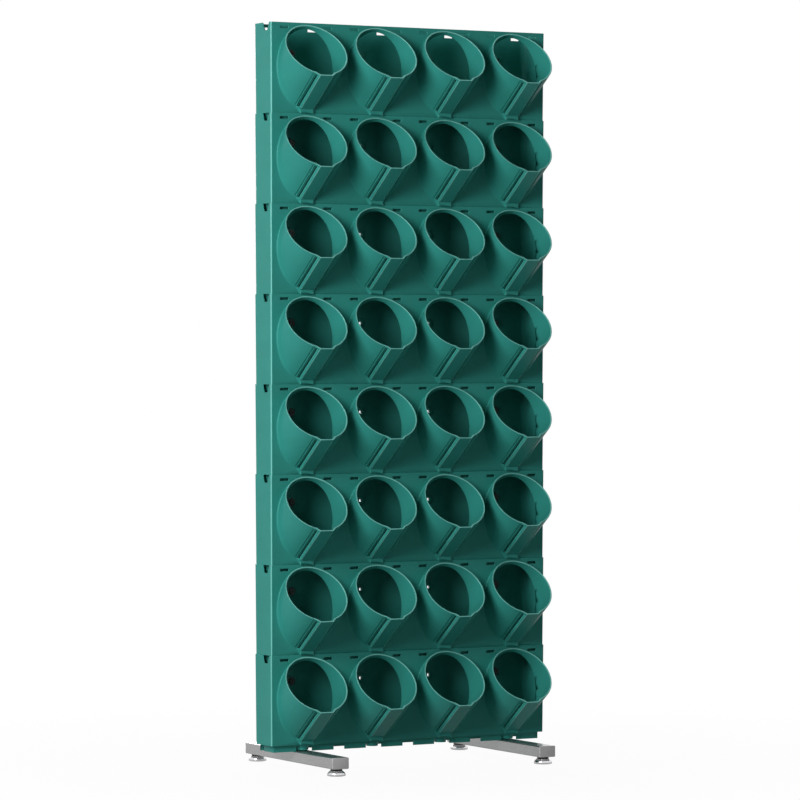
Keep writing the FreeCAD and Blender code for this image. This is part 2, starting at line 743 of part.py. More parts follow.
def frame_fasteners(heights):
    rail_master = bolt("rail_bolt", "washer_height + tube_width + rail_bolt_reach")
    spigot_master = bolt("spigot_bolt", "2 * washer_height + tube_width + nut_height + bolt_end")
    washer_master = washer("frame_washer")
    nut_master = nut("spigot_nut")
    rail_bolts, spigot_bolts, washers, nuts = [], [], [], []
    spigot_z = f"{FOOT_TOP} + spigot_bolt_height"
    for side in (-1, 1):
        outside = f"{side} * ({OUTER_COLUMN} + tube_width / 2)"
        inside = f"{side} * ({OUTER_COLUMN} - tube_width / 2)"
        seat = f"{outside} + {side} * washer_height"
        outward = f"rotationy({90 * side})"
        inward = f"rotationy({-90 * side})"
        for height in heights:
            rail_bolts.append(copy_of(rail_master, "bolt", seat, UPRIGHT_MIDDLE, height, outward))
            washers.append(copy_of(washer_master, "washer", outside, UPRIGHT_MIDDLE, height, outward))
        spigot_bolts.append(copy_of(spigot_master, "bolt", seat, UPRIGHT_MIDDLE, spigot_z, outward))
        washers.append(copy_of(washer_master, "washer", outside, UPRIGHT_MIDDLE, spigot_z, outward))
        washers.append(copy_of(washer_master, "washer", inside, UPRIGHT_MIDDLE, spigot_z, inward))
        nut_x = f"{inside} - {side} * washer_height"
        nuts.append(copy_of(nut_master, "nut", nut_x, UPRIGHT_MIDDLE, spigot_z, inward))
    made = [group("rail_bolts", rail_bolts), group("spigot_bolts", spigot_bolts)]
    return made + [group("frame_washers", washers), group("spigot_nuts", nuts)]


# Levelling glides, drawn with the floor at z = 0
def turned(label, points):
    body = new_body(label)
    outline = new_sketch(body, "outline", "XZ_Plane")
    polygon(outline, points)
    revolve(body, outline)
    return body


def glide_inserts():
    bore = "stud_radius + stud_gap"
    low = "glide_height - insert_flange"
    top = "glide_height + insert_height"
    points = [(bore, low), ("insert_flange_radius", low), ("insert_flange_radius", "glide_height")]
    points += [("insert_radius", "glide_height"), ("insert_radius", top), (bore, top)]
    master = turned("glide_insert", points)
    items = []
    for side in (-1, 1):
        for end in (-1, 1):
            items.append(copy_of(master, "insert", *glide_spot(side, end), "0"))
    return group("glide_inserts", items)


def glide_spot(side, end):
    return f"{side} * {OUTER_COLUMN}", f"{end} * (foot_length / 2 - glide_inset)"


def glide_dish(label, side, end):
    bore = "stud_radius + stud_gap"
    points = [("0", "sole_height"), ("sole_radius", "sole_height"), ("sole_radius", "sole_proud")]
    points += [("pad_radius", "sole_proud"), ("pad_radius", "sole_proud + pad_lip")]
    points += [("pad_neck", "pad_height"), (bore, "pad_height"), (bore, "stud_foot"), ("0", "stud_foot")]
    return place(turned(label, points), *glide_spot(side, end), "0")


def glide_sole(label, side, end):
    points = [("0", "0"), ("sole_radius - stud_gap", "0"), ("sole_radius - stud_gap", "sole_height")]
    points += [("0", "sole_height")]
    return place(turned(label, points), *glide_spot(side, end), "0")


def glide_stud(label, side, end):
    top = "glide_height + stud_head"
    points = [("0", "stud_foot"), ("stud_radius", "stud_foot"), ("stud_radius", f"{top} - stud_chamfer")]
    points += [("stud_radius - stud_chamfer", top), ("0", top)]
    return place(turned(label, points), *glide_spot(side, end), "0")


def glide_collar(label, side, end):
    low = "pad_height + collar_gap"
    high = "glide_height - insert_flange"
    bore = "stud_radius + stud_gap"
    points = [(bore, low), ("collar_radius", low), ("collar_radius", high), (bore, high)]
    return place(turned(label, points), *glide_spot(side, end), "0")


def glides():
    made = []
    for end, end_name in ((-1, "front"), (1, "rear")):
        for side, side_name in ((-1, "left"), (1, "right")):
            name = f"{end_name}_{side_name}_glide"
            made.append(glide_dish(f"{name}_dish", side, end))
            made.append(glide_sole(f"{name}_sole", side, end))
            made.append(glide_stud(f"{name}_stud", side, end))
            made.append(glide_collar(f"{name}_collar", side, end))
    return made


def frame():
    made = []
    for side, name in ((-1, "left"), (1, "right")):
        made.append(foot_bar(f"{name}_foot_bar", side))
        made.append(foot_cap(f"{name}_front_foot_cap", side, -1))
        made.append(foot_cap(f"{name}_rear_foot_cap", side, 1))
        made.append(foot_spigot(f"{name}_foot_spigot", side))
        made.append(upright(f"{name}_upright", side))
        made.append(upright_cap(f"{name}_upright_cap", side))
    heights = rail_heights()
    for name, height in zip(("lower", "upper"), heights):
        made.append(cross_rail(f"{name}_cross_rail", height))
    return made + [rail_plugs(heights)] + frame_fasteners(heights)


def check_document():
    for item in DOC.Objects:
        if "Invalid" in item.State or "Error" in item.State:
            raise RuntimeError(f"{item.Label} did not recompute: {item.State}")
        if hasattr(item, "Shape") and not item.isDerivedFrom("Sketcher::SketchObject"):
            if item.TypeId in ("App::Plane", "App::Line", "App::Point"):
                continue
            if item.Shape.isNull() or not item.Shape.isValid():
                raise RuntimeError(f"{item.Label} has no valid shape")


def write_parts(items):
    os.makedirs("parts", exist_ok=True)
    for item in items:
        item.Shape.exportStep(f"parts/{item.Label}.step")


fill_sheet()
PIECES = planter_rows() + frame() + module_fasteners() + [glide_inserts()] + glides()
DOC.recompute()
check_document()
write_parts(PIECES)
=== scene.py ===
"""Dresses the planting wall: moulded modules, tube frame, fasteners, glides and the studio."""

import logging
import math
from dataclasses import dataclass, replace
from enum import Enum
from typing import Callable

import bpy
from mathutils import Matrix, Vector


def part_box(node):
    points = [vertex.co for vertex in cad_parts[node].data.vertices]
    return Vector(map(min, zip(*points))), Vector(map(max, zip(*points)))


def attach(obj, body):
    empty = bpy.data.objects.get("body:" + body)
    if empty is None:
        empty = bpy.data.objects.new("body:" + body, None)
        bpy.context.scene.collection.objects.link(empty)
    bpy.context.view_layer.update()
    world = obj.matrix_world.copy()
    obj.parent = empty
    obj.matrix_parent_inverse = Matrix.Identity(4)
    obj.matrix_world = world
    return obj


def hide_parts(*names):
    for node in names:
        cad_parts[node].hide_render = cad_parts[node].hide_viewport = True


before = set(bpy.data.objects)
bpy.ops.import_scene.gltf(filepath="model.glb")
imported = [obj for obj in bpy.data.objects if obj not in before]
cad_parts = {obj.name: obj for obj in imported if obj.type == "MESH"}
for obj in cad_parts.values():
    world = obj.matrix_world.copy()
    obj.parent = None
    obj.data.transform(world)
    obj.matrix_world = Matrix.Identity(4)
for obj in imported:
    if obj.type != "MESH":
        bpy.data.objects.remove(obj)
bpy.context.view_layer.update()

LOG = logging.getLogger("planting_wall")

Colour = tuple[float, float, float]
VectorTest = Callable[[Vector, Vector], bool]
Inputs = dict[str | int, object]
Socket = bpy.types.NodeSocket


class Body(Enum):
    """The fixed body of the stand, on which everything but the glides rides."""

    STAND = "stand"


class Slot(Enum):
    """The record's material slots that the new pieces use."""

    GREEN_PLASTIC = "green_plastic"
    GREY_PLASTIC = "grey_plastic"
    ZINC_STEEL = "zinc_steel"
    DARK_STEEL = "dark_steel"
    BRIGHT_DISH = "bright_dish"
    BLACK_PLASTIC = "black_plastic"
    SOLE_RUBBER = "sole_rubber"


class Axis(Enum):
    """The directions along which fasteners stand."""

    X = Vector((1.0, 0.0, 0.0))
    Y = Vector((0.0, 1.0, 0.0))
    Z = Vector((0.0, 0.0, 1.0))


class Cut(Enum):
    """What a cut leaves: the piece without the tool, or what both share."""

    OUT = "DIFFERENCE"
    SHARED = "INTERSECT"


class Corner(Enum):
    """The four corners of the stand, each with its glide."""

    FRONT_LEFT = "front_left"
    FRONT_RIGHT = "front_right"
    REAR_LEFT = "rear_left"
    REAR_RIGHT = "rear_right"


def tone(red: float, green: float, blue: float) -> Colour:
    """Turns a screen colour, from 0 to 255, into the linear colour that shaders read."""
    steps = (value / 255 for value in (red, green, blue))
    return tuple(step / 12.92 if step < 0.04045 else ((step + 0.055) / 1.055) ** 2.4 for step in steps)


def shaded(colour: Colour, share: float) -> Colour:
    """Returns the colour at a share of its brightness."""
    return tuple(min(1.0, value * share) for value in colour)


class NodeGraph:
    """The node tree of a material or the world, with short calls that add and join its nodes."""

    def __init__(self, tree: bpy.types.NodeTree) -> None:
        """Takes a node tree."""
        self.tree = tree

    def add(self, kind: str, **settings: object) -> bpy.types.Node:
        """Adds a node.

        Args:
            kind: Blender's name of the node type.
            settings: Properties of the node.

        Returns:
            The new node.
        """
        node = self.tree.nodes.new(kind)
        for name, value in settings.items():
            setattr(node, name, value)
        return node

    def feed(self, socket: Socket, value: object) -> None:
        """Joins a socket to another, or sets it to a plain value.

        Args:
            socket: The socket that is fed.
            value: Another socket, or the value.
        """
        if isinstance(value, bpy.types.NodeSocket):
            self.tree.links.new(value, socket)
        else:
            socket.default_value = value

    def wire(self, kind: str, inputs: Inputs, output: str | int, **settings: object) -> Socket:
        """Adds a node and feeds its inputs.

        Args:
            kind: Blender's name of the node type.
            inputs: What each input gets.
            output: The output that goes on.
            settings: Properties of the node.

        Returns:
            That output.
        """
        node = self.add(kind, **settings)
        for name, value in inputs.items():
            self.feed(node.inputs[name], value)
        return node.outputs[output]

    def spread(self, value: Socket, start: tuple[float, float], end: tuple[float, float]) -> Socket:
        """Maps a value from one range to another, held at its ends."""
        ends = {"From Min": start[0], "From Max": start[1], "To Min": end[0], "To Max": end[1]}
        return self.wire("ShaderNodeMapRange", {"Value": value, **ends}, "Result")

    def sums(self, operation: str, first: object, second: object) -> Socket:
        """Returns the sum, product or other result of two values."""
        return self.wire("ShaderNodeMath", {0: first, 1: second}, "Value", operation=operation)


class ShaderGraph(NodeGraph):
    """The node tree of one material, built round a Principled shader."""

    def __init__(self, name: str) -> None:
        """Starts a material.

        Args:
            name: Name of the material.
        """
        self.material = bpy.data.materials.new(name)
        self.material.use_nodes = True
        super().__init__(self.material.node_tree)
        self.shader = self.tree.nodes["Principled BSDF"]
        self.output = self.tree.nodes["Material Output"]
        self.place = self.add("ShaderNodeTexCoord").outputs["Object"]

    def set(self, **values: object) -> None:
        """Sets or joins the shader's sockets, named with underscores for blanks."""
        for name, value in values.items():
            self.feed(self.shader.inputs[name.replace("_", " ")], value)

    def stretched(self, scale: tuple[float, float, float]) -> Socket:
        """Returns the object coordinates stretched by a scale for each axis."""
        return self.wire("ShaderNodeMapping", {"Vector": self.place, "Scale": scale}, "Vector")

    def noise(self, scale: float, detail: float = 3.0, at: Socket | None = None) -> Socket:
        """Returns a soft noise of so many blotches in a metre, at the object's or other places."""
        inputs = {"Vector": at or self.place, "Scale": scale, "Detail": detail}
        return self.wire("ShaderNodeTexNoise", inputs, "Fac")

    def blend(self, share: Socket, first: object, second: object) -> Socket:
        """Blends two colours.

        Args:
            share: Share of the second colour.
            first: Colour or socket at 0.
            second: Colour or socket at 1.

        Returns:
            The blended colour.
        """
        inputs = {"Factor": share}
        for place, colour in ((6, first), (7, second)):
            inputs[place] = (*colour, 1.0) if isinstance(colour, tuple) else colour
        return self.wire("ShaderNodeMix", inputs, 2, data_type="RGBA")

    def rounded(self, radius: float) -> Socket:
        """Returns normals that round every edge by a radius."""
        return self.wire("ShaderNodeBevel", {"Radius": radius}, "Normal", samples=4)

    def edges(self, radius: float) -> Socket:
        """Finds the edges of the shape.

        Args:
            radius: How far from an edge the mark reaches.

        Returns:
            A mask that is 1 along edges and 0 on open faces.
        """
        ways = {0: self.rounded(radius), 1: self.wire("ShaderNodeNewGeometry", {}, "Normal")}
        alike = self.wire("ShaderNodeVectorMath", ways, "Value", operation="DOT_PRODUCT")
        return self.spread(alike, (0.99, 0.8), (0.0, 1.0))

    def marked(self, name: str) -> Socket:
        """Reads a number that the faces carry under a name."""
        return self.wire("ShaderNodeAttribute", {}, "Fac", attribute_name=name)

    def bump(self, height: Socket, depth: float, normal: Socket | None = None) -> Socket:
        """Adds a bump.

        Args:
            height: The height from 0 to 1.
            depth: How deep it goes, in metres.
            normal: Normals to start from, or the surface's own.

        Returns:
            The bumped normals.
        """
        inputs = {"Height": height, "Distance": depth}
        if normal is not None:
            inputs["Normal"] = normal
        return self.wire("ShaderNodeBump", inputs, "Normal")


@dataclass(frozen=True)
class Finish:
    """A surface finish, made into one material on its first use."""

    name: str
    colour: Colour
    roughness: float

    def material(self) -> bpy.types.Material:
        """Returns the finish's material.

        Returns:
            The material, the same one for every piece.
        """
        made = bpy.data.materials.get(self.name)
        if made is None:
            graph = ShaderGraph(self.name)
            self.paint(graph)
            made = graph.material
        return made

    def paint(self, graph: ShaderGraph) -> None:
        """Sets up the nodes of the finish in its material's tree."""
        raise NotImplementedError

    def coat(self, piece: bpy.types.Object) -> None:
        """Gives a piece this finish all over."""
        piece.data.materials.clear()
        piece.data.materials.append(self.material())


@dataclass(frozen=True)
class MouldedPlastic(Finish):
    """Satin plastic from a mould: faint flow marks, a fine grain, edges painted lighter for scuffing
    and as a painted highlight, and a painted highlight on marked faces.
    """

    wear_and_highlight_colour: Colour
    sheen: Colour = (1.0, 1.0, 1.0)
    specular: float = 0.15
    # Name of the face mark that gets a painted highlight, and how strong that painted highlight is.
    highlight_mark: str = "lip"
    highlight_share: float = 0.75
    flow: float = 6.0
    flow_stretch: tuple[float, float, float] = (1.0, 1.0, 2.5)
    flow_shades: tuple[float, float] = (0.95, 1.05)
    wear_and_highlight_range: tuple[float, float] = (0.1, 0.4)
    patches: float = 40.0
    grain: float = 1500.0
    grain_depth: float = 0.00004
    edge_round: float = 0.0008

    def paint(self, graph: ShaderGraph) -> None:
        """Sets up the nodes of the plastic.

        Args:
            graph: The material's node tree.
        """
        flow = graph.noise(self.flow, 4.0, graph.stretched(self.flow_stretch))
        grain = graph.noise(self.grain, 2.0)
        # Every edge is painted paler: partly scuffing, partly a painted highlight where edges catch
        # the lamps.
        wear_and_highlight_range = graph.spread(flow, (0.3, 0.6), self.wear_and_highlight_range)
        rubbed_and_highlit = graph.sums("MULTIPLY", graph.edges(self.edge_round), wear_and_highlight_range)
        # Painted highlight on the faces marked as rims, front corners, keel and tab edges.
        lip = graph.sums("MULTIPLY", graph.marked(self.highlight_mark), self.highlight_share)
        shades = (shaded(self.colour, share) for share in self.flow_shades)
        base = graph.blend(graph.spread(flow, (0.3, 0.7), (0.0, 1.0)), *shades)
        # The pale colour goes wherever the painted highlight or the painted edge lightening is
        # stronger.
        lighter = graph.sums("MAXIMUM", rubbed_and_highlit, lip)
        graph.set(Base_Color=graph.blend(lighter, base, self.wear_and_highlight_colour))
        patchy = graph.sums("ADD", graph.noise(self.patches), graph.sums("MULTIPLY", grain, 0.3))
        ends = (self.roughness - 0.06, self.roughness + 0.08)
        graph.set(Roughness=graph.spread(patchy, (0.3, 1.0), ends))
        graph.set(Specular_IOR_Level=self.specular, Specular_Tint=(*self.sheen, 1.0))
        graph.set(Normal=graph.bump(grain, self.grain_depth, graph.rounded(self.edge_round)))


@dataclass(frozen=True)
class SatinSteel(Finish):
    """Grey satin steel tube: fine drawing lines along the tube and edges painted brighter, partly
    scuffed metal and partly a painted highlight.
    """

    metallic: float = 0.85
    line_scale: float = 900.0
    line_stretch: float = 0.02
    line_depth: float = 0.00002
    cloud: float = 12.0
    edge_round: float = 0.0008
    along: Axis = Axis.Y

    def paint(self, graph: ShaderGraph) -> None:
        """Sets up the nodes of the steel.

        Args:
            graph: The material's node tree.
        """
        scale = tuple(self.line_stretch if value else 1.0 for value in self.along.value)
        lines = graph.noise(self.line_scale, 3.0, graph.stretched(scale))
        cloud = graph.noise(self.cloud, 4.0)
        base = graph.blend(cloud, shaded(self.colour, 0.94), shaded(self.colour, 1.06))
        # Edges painted brighter: partly scuffed metal, partly a painted highlight.
        worn_and_highlit = graph.sums("MULTIPLY", graph.edges(self.edge_round), 0.5)
        graph.set(Base_Color=graph.blend(worn_and_highlit, base, shaded(self.colour, 1.5)))
        ends = (self.roughness - 0.07, self.roughness + 0.07)
        graph.set(Roughness=graph.spread(lines, (0.2, 0.8), ends))
        drawn = graph.bump(lines, self.line_depth, graph.rounded(self.edge_round))
        graph.set(Metallic=self.metallic, Normal=drawn)


@dataclass(frozen=True)
class PlatedSteel(Finish):
    """Zinc or chrome plate on steel: mottled sheen and handling marks."""

    mottle: float = 160.0
    mottle_depth: float = 0.00002
    smear: float = 35.0

    def paint(self, graph: ShaderGraph) -> None:
        """Sets up the nodes of the plate.

        Args:
            graph: The material's node tree.
        """
        mottle = graph.noise(self.mottle, 4.0)
        smear = graph.noise(self.smear, 5.0)
        graph.set(Base_Color=graph.blend(mottle, shaded(self.colour, 0.88), shaded(self.colour, 1.1)))
        ends = (self.roughness * 0.7, self.roughness * 1.4)
        graph.set(Roughness=graph.spread(smear, (0.3, 0.7), ends))
        graph.set(Metallic=1.0, Normal=graph.bump(mottle, self.mottle_depth))


@dataclass(frozen=True)
class MattPolymer(Finish):
    """Matt plastic or rubber: an even grain and a dusty, slightly paler bloom."""

    bloom: float = 60.0
    grain: float = 900.0
    grain_depth: float = 0.00006

    def paint(self, graph: ShaderGraph) -> None:
        """Sets up the nodes of the polymer.

        Args:
            graph: The material's node tree.
        """
        bloom = graph.noise(self.bloom, 4.0)
        grain = graph.noise(self.grain, 2.0)
        graph.set(Base_Color=graph.blend(bloom, shaded(self.colour, 0.8), shaded(self.colour, 1.25)))
        ends = (self.roughness - 0.05, self.roughness + 0.08)
        graph.set(Roughness=graph.spread(bloom, (0.3, 0.7), ends))
        graph.set(Normal=graph.bump(grain, self.grain_depth))


class Finishes:
    """The finishes of this stand, by the slot that each one dresses."""

    # The pale teal is both the scuffed-edge colour and the painted highlight colour.
    TEAL, WEAR_AND_HIGHLIGHT_TEAL, COOL = tone(51, 144, 134), tone(134, 212, 202), (0.8, 1.0, 1.0)
    GREEN = MouldedPlastic("Satin teal moulding", TEAL, 0.38, WEAR_AND_HIGHLIGHT_TEAL, COOL)
    STEEL_Y = SatinSteel("Satin grey tube, drawn front to back", tone(190, 190, 190), 0.24)
    STEEL_Z = replace(STEEL_Y, name="Satin grey tube, drawn upright", along=Axis.Z)
    STEEL_X = replace(STEEL_Y, name="Satin grey tube, drawn across", along=Axis.X)
    # Cap edges are painted paler: partly scuffing, partly a painted highlight.
    GREY = MouldedPlastic("Grey cap plastic", tone(200, 200, 200), 0.36, tone(232, 232, 232))
    ZINC = PlatedSteel("Zinc plate", tone(196, 198, 200), 0.34)
    DARK = PlatedSteel("Black oxide", tone(44, 50, 49), 0.4)
    CHROME = PlatedSteel("Bright dish plate", tone(226, 226, 228), 0.12, 60.0, 0.000004)
    BLACK = MattPolymer("Black collar plastic", tone(30, 31, 32), 0.5)
    RUBBER = MattPolymer("Sole rubber", tone(44, 44, 45), 0.78, grain_depth=0.0001)


class Bench:
    """One piece on the bench, shaped in edit mode while everything else is put aside."""

    def __init__(self, piece: bpy.types.Object) -> None:
        """Takes a mesh object that sits at the origin."""
        self.piece = piece
        self.hold()

    @staticmethod
    def clear() -> None:
        """Puts everything aside: nothing is left selected."""
        if bpy.context.object is not None and bpy.context.object.mode != "OBJECT":
            bpy.ops.object.mode_set(mode="OBJECT")
        bpy.ops.object.select_all(action="DESELECT")

    @classmethod
    def _take(cls, name: str) -> "Bench":
        """Names the primitive just made, puts its place into its mesh and takes it.

        Args:
            name: Name of the piece.

        Returns:
            The bench with the piece on it.
        """
        bpy.ops.object.transform_apply(location=True, rotation=True, scale=True)
        bpy.context.object.name = name
        bpy.context.object.data.name = name
        return cls(bpy.context.object)

    @classmethod
    def block(cls, name: str, low: Vector, high: Vector) -> "Bench":
        """Starts from a cube.

        Args:
            name: Name of the piece.
            low: Lowest corner.
            high: Highest corner.

        Returns:
            The bench with the block on it.
        """
        cls.clear()
        bpy.ops.mesh.primitive_cube_add(size=1.0, location=(low + high) / 2, scale=high - low)
        return cls._take(name)

    @classmethod
    def disc(cls, name: str, radius: float, at: Vector, sides: int) -> "Bench":
        """Starts from a flat disc.

        Args:
            name: Name of the piece.
            radius: Radius of the disc.
            at: Its middle.
            sides: Corners round it.

        Returns:
            The bench with the disc on it.
        """
        cls.clear()
        bpy.ops.mesh.primitive_circle_add(vertices=sides, radius=radius, fill_type="NGON", location=at)
        return cls._take(name)

    @classmethod
    def turned(cls, name: str, profile: list[tuple[float, float]], sides: int = 64) -> "Bench":
        """Turns a piece round the z axis, from the middle of one end to the middle of the other.

        Args:
            name: Name of the piece.
            profile: Radius and height of each ring, in order.
            sides: Corners round it.

        Returns:
            The bench with the turned piece on it.
        """
        (radius, height), *rings = profile
        bench = cls.disc(name, radius, Vector((0.0, 0.0, height)), sides)
        bench.everything()
        for next_radius, next_height in rings:
            rise = Vector((0.0, 0.0, next_height - height))
            bench.extrude(rise, next_radius / radius, Vector((0.0, 0.0, next_height)))
            radius, height = next_radius, next_height
        bench.smooth()
        return bench

    @classmethod
    def coil(cls, radius: float, depth: float, pitch: float, span: tuple[float, float]) -> "Bench":
        """Winds a four-cornered ridge into a screw thread round the z axis.

        Args:
            radius: Radius of the crest.
            depth: Depth of the thread.
            pitch: Rise of one turn.
            span: Lowest and highest point of the thread.

        Returns:
            The bench with the thread on it.
        """
        cls.clear()
        spot, upright = (radius - depth, 0.0, span[0] + pitch / 2), (math.pi / 2, 0.0, 0.0)
        bpy.ops.mesh.primitive_circle_add(vertices=4, radius=depth, location=spot, rotation=upright)
        bpy.context.object.scale.y = pitch / (2 * depth)
        bench = cls._take("thread")
        winding = bench.modifier("SCREW")
        winding.screw_offset = pitch
        winding.iterations = int((span[1] - span[0]) / pitch) - 1
        winding.steps = winding.render_steps = 24
        winding.use_merge_vertices = True
        bpy.ops.object.modifier_apply(modifier=winding.name)
        bench.everything()
        bpy.ops.mesh.fill_holes(sides=4)
        bench.smooth()
        return bench

    @classmethod
    def node_copy(cls, name: str, node: str) -> "Bench":
        """Starts from a merged copy of a CAD node's mesh.

        Args:
            name: Name of the piece.
            node: The CAD node.

        Returns:
            The bench with the copy on it.
        """
        cls.clear()
        piece = bpy.data.objects.new(name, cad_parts[node].data.copy())
        piece.data.name = name
        bpy.context.scene.collection.objects.link(piece)
        bench = cls(piece)
        bench.everything()
        bpy.ops.mesh.remove_doubles(threshold=0.000004)
        return bench

    def hold(self) -> None:
        """Makes this piece the only one selected."""
        self.clear()
        self.piece.select_set(True)
        bpy.context.view_layer.objects.active = self.piece

    def everything(self) -> None:
        """Selects the whole mesh in edit mode."""
        self.hold()
        bpy.ops.object.mode_set(mode="EDIT")
        bpy.ops.mesh.select_mode(type="FACE")
        bpy.ops.mesh.select_all(action="SELECT")

    def _choose(self, faces: list[bool], edges: list[bool], mode: str) -> None:
        """Marks the chosen faces and edges and goes into edit mode with them.

        Args:
            faces: Which faces are chosen.
            edges: Which edges are chosen.
            mode: What edit mode selects, FACE or EDGE.
        """
        mesh = self.piece.data
        mesh.polygons.foreach_set("select", faces)
        mesh.edges.foreach_set("select", edges)
        mesh.vertices.foreach_set("select", [False] * len(mesh.vertices))
        bpy.context.tool_settings.mesh_select_mode = (False, mode == "EDGE", mode == "FACE")
        bpy.ops.object.mode_set(mode="EDIT")

    def faces(self, test: VectorTest) -> None:
        """Selects the faces whose middle and normal pass a test.

        Args:
            test: Takes a face's middle and normal.
        """
        self.hold()
        mesh = self.piece.data
        chosen = [test(face.center, face.normal) for face in mesh.polygons]
        self._choose(chosen, [False] * len(mesh.edges), "FACE")

    def edges(self, test: VectorTest) -> None:
        """Selects the edges whose two ends pass a test.

        Args:
            test: Takes an edge's two ends.
        """
        self.hold()
        mesh = self.piece.data
        spots = [vertex.co for vertex in mesh.vertices]
        chosen = [test(spots[edge.vertices[0]], spots[edge.vertices[1]]) for edge in mesh.edges]
        self._choose([False] * len(mesh.polygons), chosen, "EDGE")

    def extrude(self, move: Vector, scale: float = 1.0, centre: Vector | None = None) -> None:
        """Draws the selected faces out, and narrows or widens their new end.

        Args:
            move: How far and where to.
            scale: Size of the new end against the old one.
            centre: Middle of the new end.
        """
        bpy.ops.mesh.extrude_region_move(TRANSFORM_OT_translate={"value": move})
        if scale != 1.0:
            bpy.ops.transform.resize(value=(scale, scale, scale), center_override=centre)

    def inset(self, width: float) -> None:
        """Insets the selected faces by a width."""
        bpy.ops.mesh.inset(thickness=width)

    def bevel(self, width: float, steps: int = 3) -> None:
        """Rounds the selected edges by a width in steps."""
        bpy.ops.mesh.bevel(offset=width, segments=steps, affect="EDGES")

    def round_ring(self, radius: float, height: float, width: float, steps: int = 4) -> None:
        """Rounds a ring of edges round the z axis.

        Args:
            radius: Radius of the ring.
            height: Its height.
            width: Width of the rounding.
            steps: Steps of the rounding.
        """
        nearby = width / 10

        def on_ring(spot: Vector) -> bool:
            """Tells whether a corner of the mesh lies on the ring."""
            return abs(spot.z - height) < nearby and abs(spot.xy.length - radius) < nearby

        self.edges(lambda first, second: on_ring(first) and on_ring(second))
        self.bevel(width, steps)

    def modifier(self, kind: str) -> bpy.types.Modifier:
        """Adds a modifier of a kind and returns it.

        Args:
            kind: Blender's name of the modifier type.

        Returns:
            The new modifier.
        """
        self.hold()
        bpy.ops.object.modifier_add(type=kind)
        return self.piece.modifiers[-1]

    def cut(self, tool: "Bench", leaves: Cut = Cut.OUT) -> None:
        """Cuts this piece with another.

        Args:
            tool: The other piece, which is used up.
            leaves: What the cut leaves.
        """
        cutter = self.modifier("BOOLEAN")
        cutter.solver = "EXACT"
        cutter.operation = leaves.value
        cutter.object = tool.piece
        bpy.ops.object.modifier_apply(modifier=cutter.name)
        tool.discard()

    def weigh(self) -> None:
        """Lets the broad flat faces set the normals along their edges."""
        weight = self.modifier("WEIGHTED_NORMAL")
        weight.keep_sharp = True
        bpy.ops.object.modifier_apply(modifier=weight.name)

    def discard(self) -> None:
        """Throws the piece and its mesh away."""
        mesh = self.piece.data
        bpy.data.objects.remove(self.piece)
        bpy.data.meshes.remove(mesh)

    def spread_out(self, name: str, places: list[Matrix]) -> "Bench":
        """Copies the piece to several places, joins the copies and uses it up.

        Args:
            name: Name of the joined piece.
            places: Where the copies go.

        Returns:
            The bench with the joined piece on it.
        """
        first, *others = [self.copied(name, place) for place in places]
        first.join(others)
        self.discard()
        return first

    def join(self, others: list["Bench"]) -> None:
        """Joins other pieces into this one.

        Args:
            others: The pieces, which are used up.
        """
        self.hold()
        for other in others:
            other.piece.select_set(True)
        bpy.ops.object.join()

    def smooth(self, degrees: float = 30.0) -> None:
        """Turns all faces outwards and smooths the shading below an angle.

        Args:
            degrees: The angle.
        """
        self.everything()
        bpy.ops.mesh.normals_make_consistent(inside=False)
        self.shade(degrees)

    def shade(self, degrees: float) -> None:
        """Smooths the shading below an angle."""
        self.hold()
        bpy.ops.object.shade_smooth_by_angle(angle=math.radians(degrees))

    def copied(self, name: str, move: Matrix) -> "Bench":
        """Copies the piece with its own mesh.

        Args:
            name: Name of the copy.
            move: Where the copy goes.

        Returns:
            The bench with the copy on it.
        """
        piece = self.piece.copy()
        piece.data = self.piece.data.copy()
        piece.name = name
        piece.data.name = name
        piece.data.transform(move)
        bpy.context.scene.collection.objects.link(piece)
        return Bench(piece)


def hand_over(bench: Bench, finish: Finish, slot: Slot, body: str, *nodes: str) -> None:
    """Dresses a finished piece, sets it on its body and reports it.

    Args:
        bench: The finished piece.
        finish: Its finish.
        slot: The record's slot of that finish; not used.
        body: The body that it rides on.
        nodes: The CAD nodes that it stands for.
    """
    Bench.clear()
    finish.coat(bench.piece)
    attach(bench.piece, body)
    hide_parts(*nodes)
    LOG.info("%s: %d faces, on %s", bench.piece.name, len(bench.piece.data.polygons), body)


def standing(spot: Vector, way: Vector) -> Matrix:
    """Returns the move that takes a piece to a spot and turns its z axis one way."""
    return Matrix.Translation(spot) @ Axis.Z.value.rotation_difference(way).to_matrix().to_4x4()


